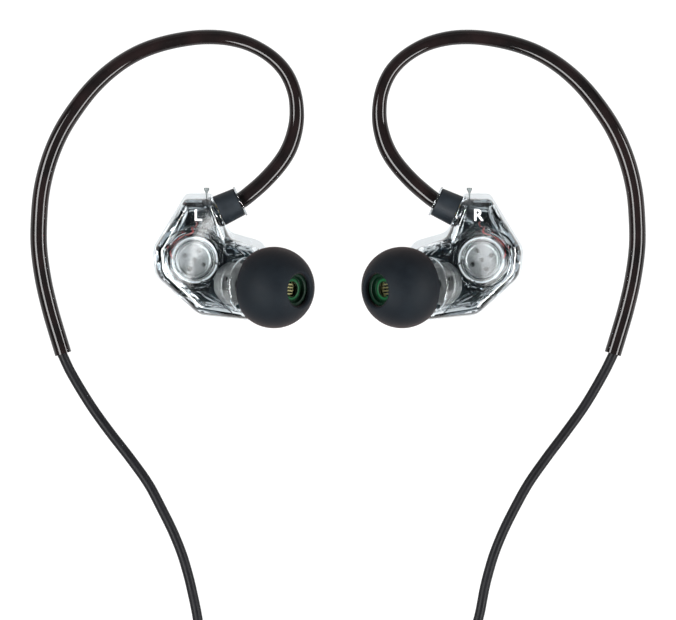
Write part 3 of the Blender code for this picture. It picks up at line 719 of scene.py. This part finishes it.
def shells(clear):
    """Both halves of the clear shell, parted at the seam."""
    outline = rounded(SHELL_CORNERS)
    form = outer_form(outline)
    cavity, bore, hole = hollows(outline)
    for cut in (cavity, bore.copy(), hole):
        form = boolean(form, cut, "DIFFERENCE")
    inside = loft("inside", outline, [(z, max(i - 0.3, 0.3)) for z, i in CAVITY_SECTIONS])
    for name, low, high, ribs in (("shell_inner", SEAM_Z + SEAM_GAP, 20, inner_ribs()),
            ("shell_outer", -5, SEAM_Z - SEAM_GAP, outer_ribs())):
        half = boolean(form.copy(), half_space(low, high), "INTERSECT")
        for rib in ribs:
            rib = boolean(boolean(rib, inside.copy(), "INTERSECT"), bore.copy(), "DIFFERENCE")
            half = boolean(half, rib, "UNION")
        sharpened(half, 28)
        for side, mesh in zip(SIDES, (half, mirrored(half))):
            fit(f"{side}_{name}_clear", crisp(mesh), f"{side}_earpiece", clear,
                (f"{side}_{name}",))


# ------------ ear tips

def ear_tips(silicone, green, gold):
    """The silicone dome, its stem and the slotted screen in the nozzle's mouth."""
    last = acos(-DOME_CENTRE / DOME_R)
    first = asin((TIP_BORE_R + 0.35) / DOME_R)
    angles = [first + (last - first) * k / 28 for k in range(29)]
    outside = [(DOME_R * sin(a), DOME_CENTRE + DOME_R * cos(a)) for a in angles]
    inside = []
    inner_r = DOME_R - DOME_WALL
    web = asin((STEM_R[1] + 0.1) / inner_r)
    for k in range(21):
        share = k / 20
        angle = last - 0.02 + (web - last + 0.02) * share
        radius = inner_r + 0.25 * (1 - share) ** 2
        inside.append((radius * sin(angle), DOME_CENTRE + radius * cos(angle)))
    web_t = inside[-1][1]
    profile = [(TIP_BORE_R, outside[0][1] - 0.3)] + outside + inside + [(TIP_BORE_R, web_t)]
    dome = turned("dome", profile, NOZZLE_AXIS, RIM, 112, ring=True, soft=0.3)
    fit_both("ear_tip_dome", dome, silicone, "ear_tip", "tip")
    core = turned("core", ((STEM_R[1], web_t - 0.65), (STEM_R[1], 0.7), (STEM_R[0], 0.6),
        (STEM_R[0], NOZZLE_END + 0.75), (LIP_R, NOZZLE_END + 0.95), (LIP_R, NOZZLE_END + 1.4),
        (LIP_R + 0.3, NOZZLE_END + 1.45), (LINER_R[0] - 0.1, NOZZLE_END + 1.25),
        (LINER_R[0], NOZZLE_END + 1.7), (LINER_R[0], LINER_END), (LINER_R[1], LINER_END),
        (LINER_R[1], web_t - 0.05), (STEM_R[1] - 0.5, web_t - 0.05)),
        NOZZLE_AXIS, RIM, 64, ring=True, soft=0.12)
    fit_both("ear_tip_stem", core, green, "ear_tip_core", "tip")
    screen = turned("screen", ((0, NOZZLE_END + 0.6), (NOZZLE_R - 0.05, NOZZLE_END + 0.6),
        (NOZZLE_R - 0.05, NOZZLE_END + 0.2), (0, NOZZLE_END + 0.2)), NOZZLE_AXIS, RIM, 64)
    across = NOZZLE_AXIS.cross(UP).normalized()
    other = NOZZLE_AXIS.cross(across)
    for k in range(5):
        offset = (k - 2) * 0.5
        half_slot = sqrt(1.35 ** 2 - offset ** 2)
        slot = box((0, 0, 0), (0.26, 2 * half_slot, 1.2), 0.08)
        place = Matrix((across, other, NOZZLE_AXIS)).transposed().to_4x4()
        place.translation = (RIM + NOZZLE_AXIS * (NOZZLE_END + 0.4) + across * offset) * MM
        slot.transform(place)
        screen = boolean(screen, slot, "DIFFERENCE")
    fit_both("nozzle_grille", sharpened(screen, 35), gold, "nozzle_screen")


# ------------ drivers and electrics

def main_driver(cover_metal, can_metal, magnet_metal, film):
    """Dynamic driver, from the yoke up to its perforated cover."""
    yoke = turned("yoke", (
        (0, 0.5), (2.15, 0.5), (2.15, 2.0), (2.7, 2.0), (2.7, 0), (1.0, 0), (0.9, 0.12), (0, 0.12)),
        UP, DRIVER)
    fit_both("driver_yoke_can", yoke, can_metal, "driver_yoke")
    magnet = turned("magnet", rod_profile(1.4, 2.0, 0.6), UP, DRIVER, 48)
    fit_both("driver_magnet_disc", magnet, magnet_metal, "driver_magnet")
    cone = turned("cone", (
        (0, 3.45), (0.6, 3.42), (1.0, 3.3), (1.4, 3.1), (1.75, 2.85), (2.0, 3.02), (2.25, 3.05),
        (2.5, 2.9), (2.65, 2.75), (2.65, 2.6), (2.25, 2.9), (1.9, 2.7), (1.9, 1.2), (1.75, 1.2),
        (1.75, 2.6), (1.0, 3.15), (0, 3.3)), UP, DRIVER, soft=0.1)
    fit_both("driver_diaphragm_film", cone, film, "driver_diaphragm")
    can = turned("can", (
        (3.0, 3.6), (DRIVER_R, 3.6), (DRIVER_R, 2.5), (3.33, 2.4), (3.33, 2.1), (DRIVER_R, 2.0),
        (DRIVER_R, 0), (3.0, 0)), UP, DRIVER, 96, ring=True)
    fit_both("driver_frame_can", can, can_metal, "driver_frame")
    cover = turned("cover", (
        (0, 4.55), (2.38, 4.55), (2.47, 4.72), (2.6, 4.78), (2.78, 4.72), (2.86, 4.35),
        (3.1, 4.26), (3.16, 4.3), (3.26, 4.3), (3.3, 4.22), (DRIVER_R, 4.18),
        (DRIVER_R, 3.75), (2.75, 3.75), (2.6, 4.25), (0, 4.25)), UP, DRIVER, 96, soft=0.06)
    for place in [Vector()] + [polar(1.65, radians(64 + 90 * k)) for k in range(4)]:
        cover = drilled(cover, 0.38, DRIVER + place, UP, 5.5, 3.5)
    fit_both("driver_cover_disc", sharpened(cover, 35), cover_metal, "driver_cover")


def small_driver(can_metal):
    """The second driver behind the nozzle: cup and front cover."""
    radius = SMALL_DRIVER_R
    cup = turned("cup", (
        (0, -0.6), (radius - 0.45, -0.6), (radius - 0.45, 0.5), (radius, 0.5), (radius, -0.35),
        (radius - 0.12, -0.45), (radius - 0.12, -0.7), (radius - 0.35, -1.0), (2.1, -1.0),
        (2.0, -0.85), (1.2, -0.85), (1.1, -1.0), (0, -1.0)), NOZZLE_AXIS, SMALL_DRIVER, 96)
    fit_both("small_driver_cup_can", cup, can_metal, "small_driver_cup")
    cover = turned("cover", (
        (0.7, 0.95), (2.65, 0.95), (2.75, 1.18), (2.85, 1.22), (radius - 0.15, 1.2),
        (radius, 1.1), (radius, 0.55), (0.7, 0.55)), NOZZLE_AXIS, SMALL_DRIVER, 96, ring=True)
    across = NOZZLE_AXIS.cross(UP).normalized()
    upward = across.cross(NOZZLE_AXIS)
    for degrees in (15, -33):
        angle = radians(degrees)
        place = SMALL_DRIVER + (upward * cos(angle) - across * sin(angle)) * 2.2
        cover = drilled(cover, 0.3, place, NOZZLE_AXIS, 2, 0)
    fit_both("small_driver_front", sharpened(cover, 35), can_metal, "small_driver_cover")


def connectors(gold, steel, dark_steel, black, clear):
    """Socket and contact in the shell; male contact, snap ring and collar on the cable."""
    inner, outer = SOCKET_R
    parts = (("socket_can", "socket", "earpiece", dark_steel, "dark_steel", False, (
            (0, -3.05), (inner, -3.05), (inner, -0.25), (outer, -0.25), (outer, -1.1),
            (outer - 0.08, -1.15), (outer - 0.08, -1.35), (outer, -1.4), (outer, -3.3), (0, -3.3))),
        ("socket_pin", "socket_contact", "earpiece", gold, "gold_plate", False, (
            (0, -2.5), (0.5, -2.5), (0.5, -2.15), (0.9, -2.15), (0.9, -2.75), (0, -2.75))),
        ("snap_ring_wire", "snap_ring", "clip", steel, "steel", True,
            tube_profile(1.05, 1.28, -1.25, -0.95)),
        ("plug_contact", "plug_body", "root", gold, "gold_plate", False, (
            (0, 2.3), (1.6, 2.3), (1.6, 0.65), (1.15, 0.5), (1.15, -0.65), (0.8, -0.65),
            (0.8, -1.55), (1.15, -1.55), (1.15, -1.95), (0.55, -1.95), (0.55, 0.4),
            (0.2, 0.4), (0.2, -2.2), (0, -2.25))),
        ("collar_sleeve", "collar", "root", black, "collar_black", True, (
            (COLLAR_R[1] - 0.06, 3.65), (COLLAR_R[1], 3.55), (COLLAR_R[0], 0.15),
            (COLLAR_R[0] - 0.05, 0.04), (1.9, 0.04), (1.9, 2.6), (HOOK_R + 0.1, 2.6),
            (HOOK_R + 0.1, 3.65))), ("collar_tube_ring", None, "root", clear, "clear_shell", True,
            tube_profile(HOOK_R + 0.14, COLLAR_R[1] + 0.2, 3.67, 3.95)))
    for name, stands_for, body, finish, slot, ring, profile in parts:
        mesh = turned(name, profile, CONNECTOR_AXIS, SOCKET_MOUTH, 72, ring, 0.1)
        fit_both(name, mesh, finish, stands_for, body)


def board_and_wires(mask, pad_matte, red, black, grey):
    """Crossover board, its chips, the two wire runs and the nub on the shell's edge."""
    board = loft("board", rounded(SHELL_CORNERS),
                 ((1.95, 1.6), (2.0, 1.55), (2.3, 1.55), (2.35, 1.6)))
    for radius, x, y in ((DRIVER_R + 0.3, DRIVER.x, DRIVER.y), (3.3, -13.7, -14.9)):
        board = drilled(board, radius, Vector((x, y, 0)), UP, 4, 1, 96)
    sharpened(board, 35)
    chips = [box((x, y, 2.35 + h / 2), (w, d, h), 0.05) for x, y, w, d, h in (
        (-23.1, -3.7, 1.0, 0.5, 0.45), (-24.3, -5.2, 0.5, 0.8, 0.35), (-20.4, -17.2, 1.1, 0.6, 0.4),
        (-18.2, -17.6, 0.6, 0.6, 0.35), (-18.0, -10.6, 0.7, 0.9, 0.4))]
    fit_both("crossover_board_laminate", joined([board] + chips, "board"), mask,
             "crossover_board")
    keep_out = turned("keep_out", rod_profile(4.3, 9, 1), UP, DRIVER, 96)
    # Flat black pads on the board, cut clear of the driver
    pads = [boolean(slab(outline, 2.45, high), keep_out.copy(), "DIFFERENCE")
            for outline, high in DARK_PADS]
    fit_both("dark_pads", joined(pads, "pads"), pad_matte)
    routes = (("red", red, ((-22.8, -4.7, 2.55), (-22.5, -4.9, 4.4), (-22.85, -5.5, 5.6),
                      (-23.35, -5.75, 5.9), (-23.1, -6.2, 6.0), (-23.7, -6.65, 5.9),
                      (-24.6, -6.9, 5.2), (-25.8, -7.6, 4.8), (-26.6, -8.6, 5.0),
                      (-26.75, -9.6, 5.6), (-26.5, -10.5, 5.4))),
        ("black", black, ((-21.6, -5.4, 2.55), (-20.6, -6.2, 4.0), (-19.3, -7.7, 4.8),
                          (-18.2, -9.6, 5.0), (-17.6, -10.6, 5.0))))
    for colour, finish, route in routes:
        mesh = swept("wire", smooth(route, 0.12), 0.1, 12)
        fit_both(f"wire_{colour}_run", mesh, finish, f"wire_{colour}")
    nub = turned("nub", (
        (0, 1.72), (0.42, 1.72), (0.45, 1.45), (0.28, 1.15), (0.13, 0.8), (0.1, 0.0), (0, 0.0)),
        Vector((0, 1, 0)), NUB_FOOT, 32)
    fit_both("vent_nub_pin", nub, grey, "vent_nub")


def side_marks(paint):
    """The plain L and R, printed on the shells' crowns."""
    for side, letter, sign in (("left", "L", -1), ("right", "R", 1)):
        text = bpy.data.curves.new("mark", "FONT")
        text.body = letter
        text.size = 2.6 * MM
        text.align_x = "CENTER"
        text.offset = 0.03 * MM
        piece = placed("text", text)
        piece.location = (sign * 22.35 * MM, -4.5 * MM, 0)
        mesh = evaluated(piece)
        shape = bmesh.new()
        shape.from_mesh(mesh)
        bmesh.ops.triangulate(shape, faces=shape.faces)
        for _ in range(3):
            bmesh.ops.subdivide_edges(shape, edges=shape.edges, cuts=1, use_grid_fill=True)
        crown = bmesh.new()
        crown.from_mesh(bpy.data.objects[f"{side}_shell_inner_clear"].data)
        tree = BVHTree.FromBMesh(crown)
        crown.free()
        for vert in shape.verts:
            hit = tree.ray_cast(Vector((vert.co.x, vert.co.y, 0.02)), -UP)[0]
            vert.co.z = hit.z + 0.015 * MM
        bmesh.ops.recalc_face_normals(shape, faces=shape.faces)
        bmesh.ops.solidify(shape, geom=shape.faces[:], thickness=0.03 * MM)
        shape.to_mesh(mesh)
        shape.free()
        fit(f"{side}_mark", mesh, f"{side}_earpiece", paint)


# ------------ hook and cable

def hooks(tube_black):
    """The formed tubes that go over the ears."""
    path = smooth(HOOK_ROUTE, 0.7)
    shares, widths = zip(*HOOK_WIDTHS)
    mesh = swept("hook", path, lambda s: HOOK_R * np.interp(s, shares, widths), 32, hollow=0.74)
    fit_both("hook_tube", mesh, tube_black, "hook", "root")


def cable(jacket, rubber, tape, gold):
    """Both leads, the slider, the splitter, the main cord with its coil, and the plug."""
    splitter = splitter_body(rubber)
    slider = chin_slider(rubber)
    plug = stereo_plug(rubber, gold)
    for side, route, radius, height, stands_for in (
            ("left", LEFT_ROUTE, 10.6, 1.7, ("left_lead", "lead_coil")),
            ("right", RIGHT_ROUTE, 8.6, 2.1, ("right_lead",))):
        path = lead_path(route, radius, height)
        inside_tube = path[0] + (path[0] - path[1]).normalized() * 0.5
        mesh = swept("lead", [inside_tube] + path, LEAD_R, 16)
        lead = fit(f"{side}_lead_cord", mesh, "root", jacket, stands_for)
    path = cord_path()
    main = fit("main_cord", swept("cord", path, CORD_R, 16), "root", jacket,
               ("cord_start", "cord_coil", "cord_end"))
    tie = coil_tie(tape)


def splitter_body(rubber):
    """The Y splitter: a rounded block with a waist and a short boot at each end."""
    length, width, height = SPLITTER_SIZE
    shape = bmesh.new()
    rings = []
    for k in range(25):
        share = k / 24
        x = (share - 0.5) * length
        taper = 1 - 0.38 * abs(2 * share - 1) ** 3.5
        groove = 0.93 if 0.12 < abs(share - 0.5) < 0.18 else 1.0
        ring = []
        for j in range(32):
            angle = tau * j / 32
            c, s = cos(angle), sin(angle)
            y = copysign(abs(c) ** 0.6, c) * width / 2 * taper * groove
            z = copysign(abs(s) ** 0.6, s) * height / 2 * (0.35 + 0.65 * taper) * groove
            ring.append(shape.verts.new(SPLITTER_CENTRE + Vector((x, y, z))))
        rings.append(ring)
    skinned(shape, rings)
    return fit("splitter_moulding", to_mesh(shape, "splitter"), "root", rubber,
               ("splitter",))


def chin_slider(rubber):
    """The slider: an oval sleeve that both leads pass through."""
    width, length, height = SLIDER_SIZE
    shape = bmesh.new()
    rings = []
    sections = ((0.5, 0.12), (0.47, 0.0), (0.2, 0.0), (0.16, 0.12), (-0.16, 0.12), (-0.2, 0.0),
                (-0.47, 0.0), (-0.5, 0.12))
    for share, inset in sections:
        rings.append((share * length, width / 2 - inset, height / 2 - inset, 0.0))
    for share in (-0.5, 0.5):
        rings.append((share * length, 2.15, 1.12, -0.15))
    loops = []
    for y, half_width, half_height, lift in rings:
        ring = []
        for j in range(48):
            angle = tau * j / 48
            flat = half_width - half_height
            x = copysign(flat, cos(angle)) + half_height * cos(angle)
            ring.append(shape.verts.new(SLIDER_CENTRE + Vector(
                (x, y, half_height * sin(angle) + lift))))
        loops.append(ring)
    skinned(shape, loops, closed=True, capped=False)
    return fit("chin_slider_sleeve", to_mesh(shape, "slider"), "slider", rubber,
               ("chin_slider",))


def coil_tie(tape):
    """The tape round the coil: a band with rounded corners and a loose end."""
    inner, outer = CORD_COIL_R[0] - 1.5, CORD_COIL_R[1] + 1.5
    middle = Vector((CORD_COIL.x + (inner + outer) / 2, CORD_COIL.y, 4.9))
    half_x, half_z, corner = (outer - inner) / 2, 4.45, 1.6
    loop = []
    for x, z, first in ((1, 1, 0), (-1, 1, 90), (-1, -1, 180), (1, -1, 270)):
        for k in range(9):
            angle = radians(first + 90 * k / 8)
            loop.append((x * (half_x - corner) + corner * cos(angle),
                         z * (half_z - corner) + corner * sin(angle)))
    shape = bmesh.new()
    rows = []
    for grow, y in ((0.0, -2.0), (0.0, 2.0), (0.45, 1.92), (0.45, -1.92)):
        rows.append([shape.verts.new(middle + Vector((
            x + copysign(grow, x) * min(1, abs(x) / half_x * 1.2), y,
            z + copysign(grow, z) * min(1, abs(z) / half_z * 1.2)))) for x, z in loop])
    skinned(shape, rows, closed=True, capped=False)
    return fit("coil_tie_tape", to_mesh(shape, "tie"), "root", tape, ("coil_tie",))


def stereo_plug(rubber, gold):
    """The 3.5 mm plug, its ribbed strain relief and grooved handle."""
    relief = [(CORD_R + 0.02, 7.7), (2.3, 7.7)]
    for k in range(8):
        start = 7.3 - k * 0.9
        radius = 2.3 - 0.8 * (7.7 - start) / 7.7
        relief += [(radius, start), (radius, start - 0.5), (radius - 0.3, start - 0.55),
                   (radius - 0.35, start - 0.85)]
    relief += [(1.5, 0.0), (CORD_R + 0.02, 0.0)]
    handle = [(0, 26.0), (3.6, 26.0), (3.9, 25.4), (4.0, 24.5)]
    for k in range(6):
        start = 20.5 - k * 1.3
        handle += [(4.0, start), (3.8, start - 0.2), (3.8, start - 0.5), (4.0, start - 0.7)]
    handle += [(4.0, 8.8), (3.8, 8.2), (3.5, 8.0), (0, 8.0)]
    parts = (("plug_relief_boot", "plug_relief", rubber, "moulded_black", True, 0.15, relief),
        ("plug_handle_grip", "plug_handle", rubber, "moulded_black", False, 0.15, handle),
        ("plug_sleeve_pole", "plug_sleeve", gold, "gold_plate", True, 0.08,
         tube_profile(1.1, 1.75, 26.2, 32.65)),
        ("plug_ring_pole", "plug_ring", gold, "gold_plate", True, 0.08,
         tube_profile(1.1, 1.75, 33.15, 35.65)),
        ("plug_insulator_core", "plug_insulator", rubber, "soft_black", False, 0.04, (
            (0, 26.2), (1.0, 26.2), (1.0, 32.66), (1.7, 32.66), (1.7, 33.14), (1.0, 33.14),
            (1.0, 35.66), (1.7, 35.66), (1.7, 36.2), (0, 36.2))),
        ("plug_tip_pole", "plug_tip", gold, "gold_plate", False, 0.12, (
            (0, 36.22), (1.75, 36.22), (1.75, 36.7), (1.3, 37.3), (1.75, 38.2), (1.6, 38.8),
            (0.7, 40.0), (0, 40.0))))
    return [fit(name, turned(name, profile, PLUG_AXIS, PLUG_START, 72, ring, soft), "root",
                finish, (stands_for,))
            for name, stands_for, finish, slot, ring, soft, profile in parts]


# ------------ studio

def camera():
    """Straight down on the pair, far enough to look flat."""
    data = bpy.data.cameras.new("camera")
    data.sensor_width = 36
    height, width = 1.2, 0.10816
    data.lens = data.sensor_width * height / width
    made = placed("camera", data)
    made.location = (0, -18.77 * MM, height + 4 * MM)
    bpy.context.scene.camera = made


def lamp(name, place, aim, size, power, roll=0.0):
    """A soft area light that points at aim; size is its two sides in metres."""
    data = bpy.data.lights.new(name, "AREA")
    data.shape = "RECTANGLE"
    data.size, data.size_y = size
    data.energy = power
    made = placed(name, data)
    made.location = place
    turn = (Vector(aim) - Vector(place)).to_track_quat("-Z", "Y")
    made.rotation_mode = "QUATERNION"
    made.rotation_quaternion = turn @ Matrix.Rotation(roll, 4, "Z").to_quaternion()


def studio():
    """A pale floor, a dim surround and soft lights."""
    world = bpy.data.worlds.new("studio")
    world.use_nodes = True
    bpy.context.scene.world = world
    split, ramp = node(world, "ShaderNodeSeparateXYZ"), node(world, "ShaderNodeValToRGB")
    background = world.node_tree.nodes["Background"]
    stops_of(ramp, (0.25, (0.008, 0.010, 0.014)), (0.9, (0.04, 0.05, 0.06)))
    link(world, node(world, "ShaderNodeTexCoord").outputs["Generated"], split.inputs["Vector"])
    link(world, split.outputs["Z"], ramp.inputs["Fac"])
    link(world, ramp.outputs["Color"], background.inputs["Color"])
    background.inputs["Strength"].default_value = 1.0
    shape = bmesh.new()
    bmesh.ops.create_grid(shape, x_segments=1, y_segments=1, size=0.6)
    mesh = bpy.data.meshes.new("floor")
    shape.to_mesh(mesh)
    shape.free()
    floor = placed("floor", mesh)
    floor.location = (0, -0.07, min(cad_box[0].z, 0) - 0.0001)
    mesh.materials.append(surface("paper", (0.08, 0.08, 0.08), 0.9, Emission_Strength=0.97,
                                  Emission_Color=(1, 1, 1, 1)))
    lamp("left_softbox", (-0.60, -0.25, 0.78), (0, -0.02, 0), (1.5, 0.38), 42)
    lamp("right_softbox", (0.83, -0.25, 0.56), (0, -0.02, 0), (1.5, 0.32), 36)
    lamp("back_wall", (0, 1.15, 0.50), (0, 0, 0), (2.4, 0.8), 3.2)
    for name, x, y, size, power, degrees in (
            ("top_left", -0.0745, 0.0080, (0.07, 0.0092), 0.016, 52.0),
            ("top_right", 0.0812, 0.0066, (0.032, 0.015), 0.0085, -62.4)):
        lamp(name, (x, y, 2.6), (x, y, 0), size, power, roll=radians(degrees))
    bpy.context.scene.view_settings.view_transform = "Standard"


# ------------ assembly

def build():
    """Make every material, then every piece, the camera and the studio."""
    clear = clear_plastic()
    steel = metal("pressed_steel", (0.55, 0.55, 0.535), 0.34, 0.08)
    can = metal("drawn_can", (0.46, 0.455, 0.44), 0.48, 0.08)
    dark_steel = metal("blackened_steel", (0.10, 0.105, 0.11), 0.35, 0.08)
    gold = metal("gold_plating", (0.86, 0.66, 0.28), 0.22, 0.06)
    grille = metal("grille_gold", (0.50, 0.48, 0.24), 0.30, 0.06)
    cover = turned_metal("driver_cover_metal", (0.50, 0.50, 0.49), 0.34, DRIVER)
    magnet = metal("nickel", (0.34, 0.35, 0.36), 0.25, 0.08)
    film = moulded("film", (0.075, 0.068, 0.055), 0.35, 0.12, Transmission_Weight=0.2)
    silicone = moulded("silicone", (0.0016, 0.0030, 0.0046), 0.62, 0.09,
                       (0.0024, 0.0042, 0.0060), Specular_IOR_Level=0.08, Sheen_Weight=0.05,
                       Sheen_Roughness=0.4, Sheen_Tint=(0.75, 0.45, 0.38, 1))
    green = surface("green_silicone", (0.01, 0.15, 0.05), 0.45, Specular_IOR_Level=0.15)
    roughened(green, noise(green, 0.9), 0.38, 0.52)
    bumped(green, noise(green, 0.1, 5.0), 0.03, 0.3)
    # The stem's colour is painted light and shade: dark green all along as painted shade, one thin
    # band of painted highlight at the lip, and darker again past it.
    green_painted_shade = (0.0006, 0.009, 0.004)
    graded(green, NOZZLE_AXIS, RIM, ((-1.0, green_painted_shade), (NOZZLE_END + 0.9, green_painted_shade),
        (NOZZLE_END + 1.36, (0.0005, 0.008, 0.003)), (NOZZLE_END + 1.43, (0.002, 0.040, 0.012)),
        (NOZZLE_END + 1.47, (0.0005, 0.008, 0.0035)), (10.0, (0.0003, 0.004, 0.002))))
    collar = moulded("matte_sleeve", (0.0044, 0.0064, 0.0086), 0.55, 0.06, Specular_IOR_Level=0.16)
    tube = surface("hook_pvc", (0.004, 0.003, 0.003), 0.07, IOR=1.3)
    bumped(tube, noise(tube, 1.4, 3.0), 0.02, 0.2)
    varied(tube, noise(tube, 4.0), (0.0035, 0.003, 0.003), (0.007, 0.0045, 0.0045))
    jacket = moulded("jacket", (0.0018, 0.0018, 0.0024), 0.45, 0.11, Specular_IOR_Level=0.1)
    rubber = moulded("moulded_rubber", (0.0035, 0.0035, 0.004), 0.5, 0.08, Specular_IOR_Level=0.2)
    tape = woven("tape", (0.004, 0.004, 0.0045))
    red = surface("red_insulation", (0.62, 0.09, 0.085), 0.4)
    bumped(red, noise(red, 0.2), 0.02, 0.3)
    black = surface("black_insulation", (0.015, 0.015, 0.016), 0.35)
    bumped(black, noise(black, 0.2), 0.02, 0.3)
    grey = moulded("grey_pin", (0.055, 0.065, 0.065), 0.45, 0.05)
    paint = surface("white_ink", (0.88, 0.89, 0.9), 0.5)
    bumped(paint, noise(paint, 0.1), 0.01, 0.3)
    mask = circuit_board()
    # A plain near-black matte for the board's flat pads
    pad_matte = moulded("dark_pad_matte", (0.0030, 0.0034, 0.0038), 0.8, 0.14, Specular_IOR_Level=0.15)
    shells(clear)
    ear_tips(silicone, green, grille)
    main_driver(cover, steel, magnet, film)
    small_driver(can)
    connectors(gold, steel, dark_steel, collar, clear)
    board_and_wires(mask, pad_matte, red, black, grey)
    side_marks(paint)
    hooks(tube)
    cable(jacket, rubber, tape, gold)
    camera()
    studio()


build()
